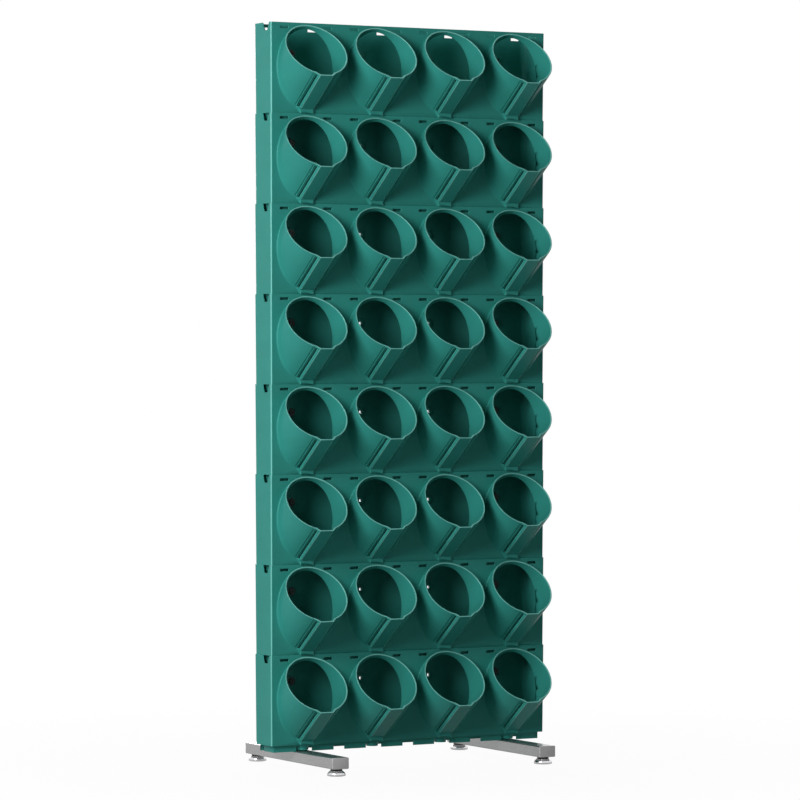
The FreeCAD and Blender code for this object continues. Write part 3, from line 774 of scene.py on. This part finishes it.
@dataclass
class PlanterStack:
    """The moulded modules: copies of a CAD moulding with finer grooves, keel ends and edges marked for
    a painted highlight.
    """

    rows: int = 8
    columns: tuple[float, ...] = (-0.2625, -0.0875, 0.0875, 0.2625)
    crease: float = 28.0
    half_width: float = 0.35
    corner: float = 0.004
    front: float = -0.047
    seam: float = 0.056
    mouth_way: Vector = Vector((0.0, -0.7771, 0.6293))
    rim_depth: float = 0.0016
    keel_way: Vector = Vector((0.0, 0.7986, -0.6018))
    groove_start: Vector = Vector((0.0, -0.1378, 0.1335))
    groove_offset: float = 0.0225
    groove_radius: float = 0.0055
    groove_length: float = 0.109
    tab_half: float = 0.016
    tab_proud: float = 0.0045
    tab_edge: float = 0.0012
    keel_half: float = 0.03
    keel_end: float = 0.0105
    keel_reach: float = 0.025
    keel_face: float = -0.02005
    keel_edge: float = 0.001
    clear_of_tab: float = 0.0002
    slant: float = 0.4
    tilt: float = 0.3

    def build(self) -> None:
        """Details one moulding and copies it up the stack."""
        lowest = f"planter_row_{self.rows}"
        master = Bench.node_copy(f"moulding_{self.rows}", lowest)
        self.groove(master)
        self.end_keels(master)
        self.round_tabs(master)
        self.round_keels(master)
        self.mark_highlights(master)
        master.shade(self.crease)
        master.weigh()
        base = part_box(lowest)[0].z
        for row in range(1, self.rows):
            node = f"planter_row_{row}"
            lift = Matrix.Translation((0.0, 0.0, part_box(node)[0].z - base))
            self.dress(master.copied(f"moulding_{row}", lift), node)
        self.dress(master, lowest)

    def groove(self, master: Bench) -> None:
        """Deepens the shadow grooves beside the keels down to the wall.

        Args:
            master: The moulding.
        """
        ends = [(self.groove_radius, 0.0), (self.groove_radius, self.groove_length)]
        lines = [column + side * self.groove_offset for column in self.columns for side in (-1, 1)]
        starts = [self.groove_start + x * Axis.X.value for x in lines]
        rod = Bench.turned("groove", ends, 16)
        master.cut(rod.spread_out("grooves", [standing(start, self.keel_way) for start in starts]))

    def end_keels(self, master: Bench) -> None:
        """Ends each keel squarely above its tab.

        Args:
            master: The moulding.
        """
        face = self.front - self.tab_proud - self.clear_of_tab
        low = Vector((-self.keel_half, face - self.keel_reach, self.seam - self.keel_end))
        high = Vector((self.keel_half, face, self.seam + self.keel_end))
        places = [Matrix.Translation((x, 0.0, 0.0)) for x in self.columns]
        master.cut(Bench.block("keel_end", low, high).spread_out("keel_ends", places))

    def beside(self, spot: Vector) -> float:
        """Returns how far a spot is from the sides that keels and tabs share."""
        return min(abs(abs(spot.x - column) - self.tab_half) for column in self.columns)

    def on_tab(self, spot: Vector) -> bool:
        """Tells whether a spot is on the upright front edge of a tab.

        Args:
            spot: The spot.

        Returns:
            True on a tab's edge.
        """
        nearby = 2 * self.tab_edge
        level = self.seam - nearby < spot.z < self.seam + self.keel_end + nearby
        proud = spot.y - self.front + self.tab_proud
        return level and self.beside(spot) < nearby and abs(proud) < nearby

    def round_tabs(self, master: Bench) -> None:
        """Rounds the upright front edges of the tabs.

        Args:
            master: The moulding.
        """
        rise = self.keel_end / 2
        master.edges(lambda a, b: self.on_tab(a) and self.on_tab(b) and abs(a.z - b.z) > rise)
        master.bevel(self.tab_edge)

    def on_keel(self, spot: Vector) -> bool:
        """Tells whether a spot is on a long front edge of a keel."""
        proud = spot.dot(self.keel_way.cross(Axis.X.value)) - self.keel_face
        return self.beside(spot) < self.keel_edge and abs(proud) < self.keel_edge

    def round_keels(self, master: Bench) -> None:
        """Rounds the long front edges of the keels.

        Args:
            master: The moulding.
        """
        run = self.groove_length / 2
        master.edges(lambda a, b: self.on_keel(a) and self.on_keel(b) and (a - b).length > run)
        master.bevel(self.keel_edge)

    def mark_highlights(self, master: Bench) -> None:
        """Marks the rims, the front corners, the keel and tab edges, where the finish paints a
        highlight.

        Args:
            master: The moulding.
        """
        master.hold()
        mesh = master.piece.data
        spots = [vertex.co for vertex in mesh.vertices if vertex.co.y < 2 * self.front]
        lip = max(spot.dot(self.mouth_way) for spot in spots) - self.rim_depth
        # These face marks carry the painted highlight on rims, corners, keels and tabs.
        marks = mesh.attributes.new(MouldedPlastic.highlight_mark, "FLOAT", "FACE")
        for mark, face in zip(marks.data, mesh.polygons):
            spot, way = face.center, face.normal
            outside = spot.y < self.front - self.rim_depth / 2
            rim = outside and spot.dot(self.mouth_way) > lip and way.dot(self.mouth_way) > self.tilt
            slanted = way.y < -self.slant and abs(way.x) > self.slant and abs(way.z) < self.tilt
            corner = abs(spot.x) > self.half_width - self.corner
            keel = self.on_keel(spot) and face.area < self.keel_edge * self.groove_length
            mark.value = float(rim or slanted and (corner or self.on_tab(spot)) or keel)

    def dress(self, bench: Bench, node: str) -> None:
        """Dresses a moulding that stands for a CAD node."""
        hand_over(bench, Finishes.GREEN, Slot.GREEN_PLASTIC, Body.STAND.value, node)


@dataclass
class TubeFrame:
    """The welded and bolted tube frame, whose CAD shapes stay as they are."""

    sides: tuple[str, str] = ("left", "right")

    def dress(self) -> None:
        """Gives the CAD tubes, plugs and inserts their finishes."""
        finishes: dict[str, Finish] = {"rail_plugs": Finishes.ZINC, "glide_inserts": Finishes.ZINC}
        for side in self.sides:
            finishes[f"{side}_foot_bar"] = Finishes.STEEL_Y
            finishes[f"{side}_upright"] = Finishes.STEEL_Z
            finishes[f"{side}_foot_spigot"] = Finishes.STEEL_Z
        for level in ("lower", "upper"):
            finishes[f"{level}_cross_rail"] = Finishes.STEEL_X
        for node, finish in finishes.items():
            finish.coat(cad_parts[node])
            LOG.info("%s keeps its CAD shape", node)


@dataclass
class EndCaps:
    """Moulded caps pressed into the open tube ends."""

    width: float = 0.04
    depth: float = 0.025
    plate: float = 0.0025
    corner: float = 0.0025
    edge: float = 0.0007
    plug_step: float = 0.0022
    plug_depth: float = 0.009
    plug_wall: float = 0.0018

    def build(self) -> None:
        """Models one cap and copies it to every tube end."""
        master = self.cap()
        for side in TubeFrame.sides:
            self.fit(master, f"{side}_upright_cap", Axis.Z.value)
            self.fit(master, f"{side}_front_foot_cap", -Axis.Y.value)
            self.fit(master, f"{side}_rear_foot_cap", Axis.Y.value)
        master.discard()

    def cap(self) -> Bench:
        """Models a cap whose plate stands on z = 0 and whose plug hangs below it.

        Returns:
            The bench with the cap on it.
        """
        half = Vector((self.width / 2, self.depth / 2, 0.0))
        bench = Bench.block("cap", -half, half + Vector((0.0, 0.0, self.plate)))
        bench.edges(lambda first, second: abs(first.z - second.z) > self.plate / 2)
        bench.bevel(self.corner, 5)
        bench.edges(lambda first, second: min(first.z, second.z) > self.plate / 2)
        bench.bevel(self.edge)
        bench.faces(lambda middle, normal: normal.z < -0.9)
        bench.inset(self.plug_step)
        bench.extrude(Vector((0.0, 0.0, -self.plug_depth)))
        bench.faces(lambda middle, normal: normal.z < -0.9 and middle.z < -self.plug_depth / 2)
        bench.inset(self.plug_wall)
        bench.extrude(Vector((0.0, 0.0, self.plug_depth - self.plug_wall)))
        bench.smooth()
        return bench

    def fit(self, master: Bench, node: str, outward: Vector) -> None:
        """Presses a copy of the cap into its tube end.

        Args:
            master: The cap to copy.
            node: The CAD node that the copy stands for.
            outward: Way out of the tube.
        """
        low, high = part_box(node)
        spot = (low + high) / 2
        reach = (high - low).dot(Vector(map(abs, outward))) / 2
        spot += outward * (reach - self.plate)
        bench = master.copied(f"{node}_moulding", standing(spot, outward))
        hand_over(bench, Finishes.GREY, Slot.GREY_PLASTIC, Body.STAND.value, node)


@dataclass
class Fasteners:
    """Socket-head bolts, hexagon nuts and washers of the stand."""

    bolt_radius: float = 0.003
    head_radius: float = 0.0055
    head_height: float = 0.0035
    socket: float = 0.0023
    socket_depth: float = 0.0022
    thread: float = 0.0004
    pitch: float = 0.001
    thread_length: float = 0.018
    nut_across: float = 0.01
    nut_height: float = 0.006
    nut_flat: float = 0.0048
    nut_chamfer: float = 0.0006
    washer_radius: float = 0.009
    washer_bore: float = 0.0033
    washer_height: float = 0.0016
    edge: float = 0.0006
    rows: int = 8
    rail_bolt: float = 0.0576
    spigot_bolt: float = 0.0512

    def build(self) -> None:
        """Models and places every set of fasteners."""
        self.module_sets()
        self.frame_sets()

    def bolt(self, length: float) -> Bench:
        """Models a bolt whose head stands on z = 0 and whose shank hangs below it.

        Args:
            length: Length of the shank.

        Returns:
            The bench with the bolt on it.
        """
        core, plain = self.bolt_radius - self.thread, self.thread_length - length
        profile = [(core - self.thread, -length), (core, self.thread - length), (core, plain)]
        profile += [(self.bolt_radius, plain + self.thread), (self.bolt_radius, 0.0)]
        profile += [(self.head_radius, 0.0), (self.head_radius, self.head_height)]
        bench = Bench.turned("bolt", profile, 36)
        bench.round_ring(self.head_radius, self.head_height, self.edge)
        bottom, above = self.head_height - self.socket_depth, 2 * self.head_height
        bench.cut(Bench.turned("socket", [(self.socket, bottom), (self.socket, above)], 6))
        span = (self.thread - length, plain)
        bench.join([Bench.coil(self.bolt_radius, self.thread, self.pitch, span)])
        bench.smooth()
        return bench

    def nut(self) -> Bench:
        """Models a nut that stands on z = 0.

        Returns:
            The bench with the nut on it.
        """
        corner = self.nut_across / math.sqrt(3)
        bench = Bench.turned("nut", [(corner, 0.0), (corner, self.nut_height)], 6)
        lens = [(self.nut_flat, 0.0), (corner, self.nut_chamfer)]
        lens += [(corner, self.nut_height - self.nut_chamfer), (self.nut_flat, self.nut_height)]
        bench.cut(Bench.turned("chamfer", lens, 48), Cut.SHARED)
        self.bore(bench, self.bolt_radius, self.nut_height)
        return bench

    def washer(self) -> Bench:
        """Models a washer that stands on z = 0.

        Returns:
            The bench with the washer on it.
        """
        profile = [(self.washer_radius, 0.0), (self.washer_radius, self.washer_height)]
        bench = Bench.turned("washer", profile, 48)
        self.bore(bench, self.washer_bore, self.washer_height)
        for height in (0.0, self.washer_height):
            bench.round_ring(self.washer_radius, height, self.edge / 2, 2)
        bench.smooth()
        return bench

    @staticmethod
    def bore(bench: Bench, radius: float, height: float) -> None:
        """Bores a piece of some height along the z axis."""
        bench.cut(Bench.turned("bore", [(radius, -height), (radius, 2 * height)], 36))
        bench.smooth()

    def module_sets(self) -> None:
        """Bolts every module to the uprights."""
        low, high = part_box("module_bolts")
        reach = high.x - self.head_radius
        first, last = low.z + self.head_radius, high.z - self.head_radius
        heights = [first + (last - first) * row / (self.rows - 1) for row in range(self.rows)]
        columns = [(side * reach, height) for side in (-1, 1) for height in heights]

        def stand_at(depth: float, way: float) -> list[Matrix]:
            """Returns a place at every bolt, at one depth and facing one way along y."""
            return [standing(Vector((x, depth, z)), way * Axis.Y.value) for x, z in columns]

        seat = low.y + self.head_height
        near, far = (corner.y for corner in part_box("module_washers"))
        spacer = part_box("planter_row_1")[1].y
        washers = stand_at(near, 1.0) + stand_at(spacer, 1.0) + stand_at(far, -1.0)
        nuts = stand_at(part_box("module_nuts")[0].y, 1.0)
        dark = (Finishes.DARK, Slot.DARK_STEEL)
        self.place_set(self.bolt(high.y - seat), "module_bolt", stand_at(seat, -1.0), *dark)
        self.place_set(self.washer(), "module_washer", washers, *dark)
        self.place_set(self.nut(), "module_nut", nuts, *dark)

    def frame_sets(self) -> None:
        """Bolts the rails and spigots to the uprights."""
        out = Axis.X.value
        rails, spigots = [], []
        for places, node in ((rails, "rail_bolts"), (spigots, "spigot_bolts")):
            low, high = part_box(node)
            reach, depth = high.x - self.head_height, (low.y + high.y) / 2
            heights = {low.z + self.head_radius, high.z - self.head_radius}
            if high.z - low.z < 3 * self.head_radius:
                heights = {(low.z + high.z) / 2}
            spots = [Vector((side * reach, depth, z)) for side in (-1, 1) for z in sorted(heights)]
            places += [(math.copysign(1.0, spot.x), spot) for spot in spots]
        zinc = (Finishes.ZINC, Slot.ZINC_STEEL)
        lengths = {"rail_bolt": self.rail_bolt, "spigot_bolt": self.spigot_bolt}
        for (kind, length), places in zip(lengths.items(), (rails, spigots)):
            bolts = [standing(spot, side * out) for side, spot in places]
            self.place_set(self.bolt(length), kind, bolts, *zinc)
        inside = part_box("spigot_nuts")[1].x
        within = [(side, Vector((side * inside, spot.y, spot.z))) for side, spot in spigots]
        outer = [standing(spot, -side * out) for side, spot in rails + spigots]
        inner = [standing(spot, side * out) for side, spot in within]
        nuts = [standing(spot, -side * out) for side, spot in within]
        self.place_set(self.washer(), "frame_washer", outer + inner, *zinc)
        self.place_set(self.nut(), "spigot_nut", nuts, *zinc)

    @staticmethod
    def place_set(master: Bench, kind: str, places: list[Matrix], finish: Finish, slot: Slot) -> None:
        """Uses a fastener up for a set that stands for the CAD node of its kind."""
        joined = master.spread_out(f"{kind}_set", places)
        hand_over(joined, finish, slot, Body.STAND.value, f"{kind}s")


@dataclass
class Glides:
    """Levelling glides: a bright dish with a rubber sole, and a threaded stud with a dark collar."""

    dish_radius: float = 0.02
    dish_foot: float = 0.0005
    lip_top: float = 0.006
    lip_round: float = 0.002
    neck_radius: float = 0.0135
    dish_top: float = 0.012
    recess_radius: float = 0.018
    sole_radius: float = 0.0179
    sole_top: float = 0.002
    groove_depth: float = 0.0005
    groove_width: float = 0.0014
    groove_pitch: float = 0.0045
    collar_radius: float = 0.013
    collar_span: tuple[float, float] = (0.0123, 0.015)
    stud_span: tuple[float, float] = (0.0045, 0.036)
    bore: float = 0.00506
    thread_radius: float = 0.005
    thread_depth: float = 0.0006
    thread_pitch: float = 0.0015
    edge: float = 0.0004

    def build(self) -> None:
        """Models one glide and copies its pieces to the four corners."""
        self.set_out(self.dish(), "pad", Finishes.CHROME, Slot.BRIGHT_DISH)
        self.set_out(self.sole(), "pad", Finishes.RUBBER, Slot.SOLE_RUBBER)
        self.set_out(self.collar(), "screw", Finishes.BLACK, Slot.BLACK_PLASTIC)
        self.set_out(self.stud(), "screw", Finishes.ZINC, Slot.ZINC_STEEL)

    def dish(self) -> Bench:
        """Models the dish with its rolled lip, its bore and the recess for the sole.

        Returns:
            The bench with the dish on it.
        """
        rings = [(self.recess_radius, self.sole_top), (self.recess_radius, self.dish_foot)]
        rings += [(self.dish_radius, self.dish_foot), (self.dish_radius, self.lip_top)]
        rings += [(self.neck_radius, self.dish_top), (self.bore, self.dish_top)]
        rings += [(self.bore, self.stud_span[0])]
        bench = Bench.turned("dish", rings)
        bench.round_ring(self.dish_radius, self.dish_foot, self.edge)
        bench.round_ring(self.dish_radius, self.lip_top, self.lip_round, 8)
        bench.round_ring(self.neck_radius, self.dish_top, 2 * self.edge)
        bench.round_ring(self.bore, self.dish_top, self.edge)
        bench.smooth()
        return bench

    def sole(self) -> Bench:
        """Models the sole with ring grooves in its underside.

        Returns:
            The bench with the sole on it.
        """
        rings = [(self.sole_radius, self.sole_top), (self.sole_radius, 0.0)]
        groove = self.sole_radius - self.groove_pitch
        while groove > self.groove_pitch:
            inner = groove - self.groove_width
            rings += [(groove, 0.0), (groove, self.groove_depth)]
            rings += [(inner, self.groove_depth), (inner, 0.0)]
            groove -= self.groove_pitch
        bench = Bench.turned("sole", rings)
        bench.round_ring(self.sole_radius, 0.0, self.edge)
        bench.smooth()
        return bench

    def collar(self) -> Bench:
        """Models the collar with its bore.

        Returns:
            The bench with the collar on it.
        """
        low, high = self.collar_span
        bench = Bench.turned("collar", [(self.collar_radius, low), (self.collar_radius, high)])
        bench.cut(Bench.turned("bore", [(self.bore, 0.0), (self.bore, 2 * high)], 48))
        for height in self.collar_span:
            bench.round_ring(self.collar_radius, height, self.edge)
        bench.smooth()
        return bench

    def stud(self) -> Bench:
        """Models the stud with its thread.

        Returns:
            The bench with the stud on it.
        """
        low, high = self.stud_span
        core = self.thread_radius - self.thread_depth
        tip = core - self.thread_depth
        span = (low + self.thread_depth, high - self.thread_depth)
        bench = Bench.turned("stud", [(tip, low), (core, span[0]), (core, span[1]), (tip, high)])
        bench.join([Bench.coil(self.thread_radius, self.thread_depth, self.thread_pitch, span)])
        bench.smooth()
        return bench

    @staticmethod
    def set_out(master: Bench, part: str, finish: Finish, slot: Slot) -> None:
        """Copies a piece of the glide to the four corners and uses it up.

        Args:
            master: The piece, standing at the origin.
            part: The part of the glide that it moves with.
            finish: Its finish.
            slot: The record's slot of that finish.
        """
        kind = master.piece.name
        for corner in Corner:
            node = f"{corner.value}_glide_{kind}"
            low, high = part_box(node)
            move = Matrix.Translation(((low.x + high.x) / 2, (low.y + high.y) / 2, 0.0))
            bench = master.copied(f"{corner.value}_{kind}", move)
            hand_over(bench, finish, slot, f"{corner.value}_{part}", node)
        master.discard()


@dataclass(frozen=True)
class Lamp:
    """A soft square lamp, with the brightness that it gives a white surface facing it."""

    name: str
    spot: Vector
    width: float
    level: float

    def hang(self, target: Vector) -> None:
        """Hangs the lamp so that it faces a target.

        Args:
            target: What it faces.
        """
        aim = target - self.spot
        light = bpy.data.lights.new(self.name, "AREA")
        light.size = self.width
        light.energy = self.level * math.pi**2 * aim.length_squared
        lamp = bpy.data.objects.new(self.name, light)
        lamp.location = self.spot
        lamp.rotation_euler = aim.to_track_quat("-Z", "Y").to_euler()
        bpy.context.scene.collection.objects.link(lamp)


@dataclass
class Studio:
    """Floor, white surround, lamps and the camera of the photograph."""

    eye: Vector = Vector((-4.481, -7.915, 0.934))
    yaw: float = 29.52
    pitch: float = 0.774
    lens: float = 183.0
    sensor: float = 36.0
    far: float = 100.0
    floor_reach: float = 30.0
    floor_tone: float = 0.4
    floor_roughness: float = 0.9
    floor_mirrored: float = 0.35
    near_and_away: tuple[float, float] = (0.5, 1.6)
    glow_there: tuple[float, float] = (0.96, 1.0)
    ambient: float = 0.01
    target: Vector = Vector((0.0, 0.0, 0.8))
    lamps: tuple[Lamp, ...] = (
        Lamp("key_lamp", Vector((-3.2, -1.8, 1.9)), 1.6, 0.84),
        Lamp("top_lamp", Vector((0.3, 1.2, 4.4)), 2.0, 0.4),
        Lamp("rear_lamp", Vector((1.6, 5.0, 2.4)), 2.4, 0.6),
    )

    def build(self) -> None:
        """Sets up the whole studio."""
        bpy.context.scene.view_settings.view_transform = "Standard"
        self.surround()
        self.floor()
        for lamp in self.lamps:
            lamp.hang(self.target)
        self.camera()

    def surround(self) -> None:
        """Makes the world an even soft light that looks white."""
        world = bpy.data.worlds.new("Studio surround")
        world.use_nodes = True
        bpy.context.scene.world = world
        graph = NodeGraph(world.node_tree)
        paths = graph.add("ShaderNodeLightPath").outputs
        seen = graph.sums("MAXIMUM", paths["Is Camera Ray"], paths["Is Glossy Ray"])
        seen = graph.sums("MAXIMUM", seen, paths["Is Transmission Ray"])
        back = graph.tree.nodes["Background"].inputs
        graph.feed(back["Color"], (1.0, 1.0, 1.0, 1.0))
        graph.feed(back["Strength"], graph.spread(seen, (0.0, 1.0), (self.ambient, 1.0)))

    def floor(self) -> None:
        """Lays a pale floor that looks white and keeps the stand's shadow."""
        Bench.clear()
        bpy.ops.mesh.primitive_plane_add(size=2 * self.floor_reach)
        plane = bpy.context.object
        plane.name = "floor"
        graph = ShaderGraph("Pale floor")
        grey = (self.floor_tone, self.floor_tone, self.floor_tone, 1.0)
        graph.set(Base_Color=grey, Roughness=self.floor_roughness)
        plane.data.materials.append(graph.material)
        paths = graph.add("ShaderNodeLightPath").outputs
        mirrored = graph.sums("MULTIPLY", paths["Is Glossy Ray"], self.floor_mirrored)
        seen = graph.sums("MAXIMUM", paths["Is Camera Ray"], mirrored)
        seen = graph.sums("MAXIMUM", seen, paths["Is Transmission Ray"])
        away = graph.wire("ShaderNodeVectorMath", {0: graph.place}, "Value", operation="LENGTH")
        share = graph.spread(away, self.near_and_away, self.glow_there)
        glow = graph.wire("ShaderNodeEmission", {"Strength": 1.0}, "Emission")
        mixed = {0: graph.sums("MULTIPLY", seen, share), 1: graph.shader.outputs["BSDF"], 2: glow}
        graph.feed(graph.output.inputs["Surface"], graph.wire("ShaderNodeMixShader", mixed, "Shader"))

    def camera(self) -> None:
        """Sets up the camera at the photograph's viewing angle."""
        data = bpy.data.cameras.new("photo_camera")
        data.lens = self.lens
        data.sensor_width = self.sensor
        data.clip_end = self.far
        camera = bpy.data.objects.new("photo_camera", data)
        camera.location = self.eye
        yaw, pitch = math.radians(self.yaw), math.radians(self.pitch)
        level = math.cos(pitch)
        aim = Vector((math.sin(yaw) * level, math.cos(yaw) * level, -math.sin(pitch)))
        camera.rotation_euler = aim.to_track_quat("-Z", "Y").to_euler()
        bpy.context.scene.collection.objects.link(camera)
        bpy.context.scene.camera = camera


def main() -> None:
    """Builds the studio and dresses the stand piece by piece."""
    logging.basicConfig(level=logging.INFO, format="%(name)s: %(message)s")
    Studio().build()
    PlanterStack().build()
    TubeFrame().dress()
    EndCaps().build()
    Fasteners().build()
    Glides().build()


if __name__ == "__main__":
    main()
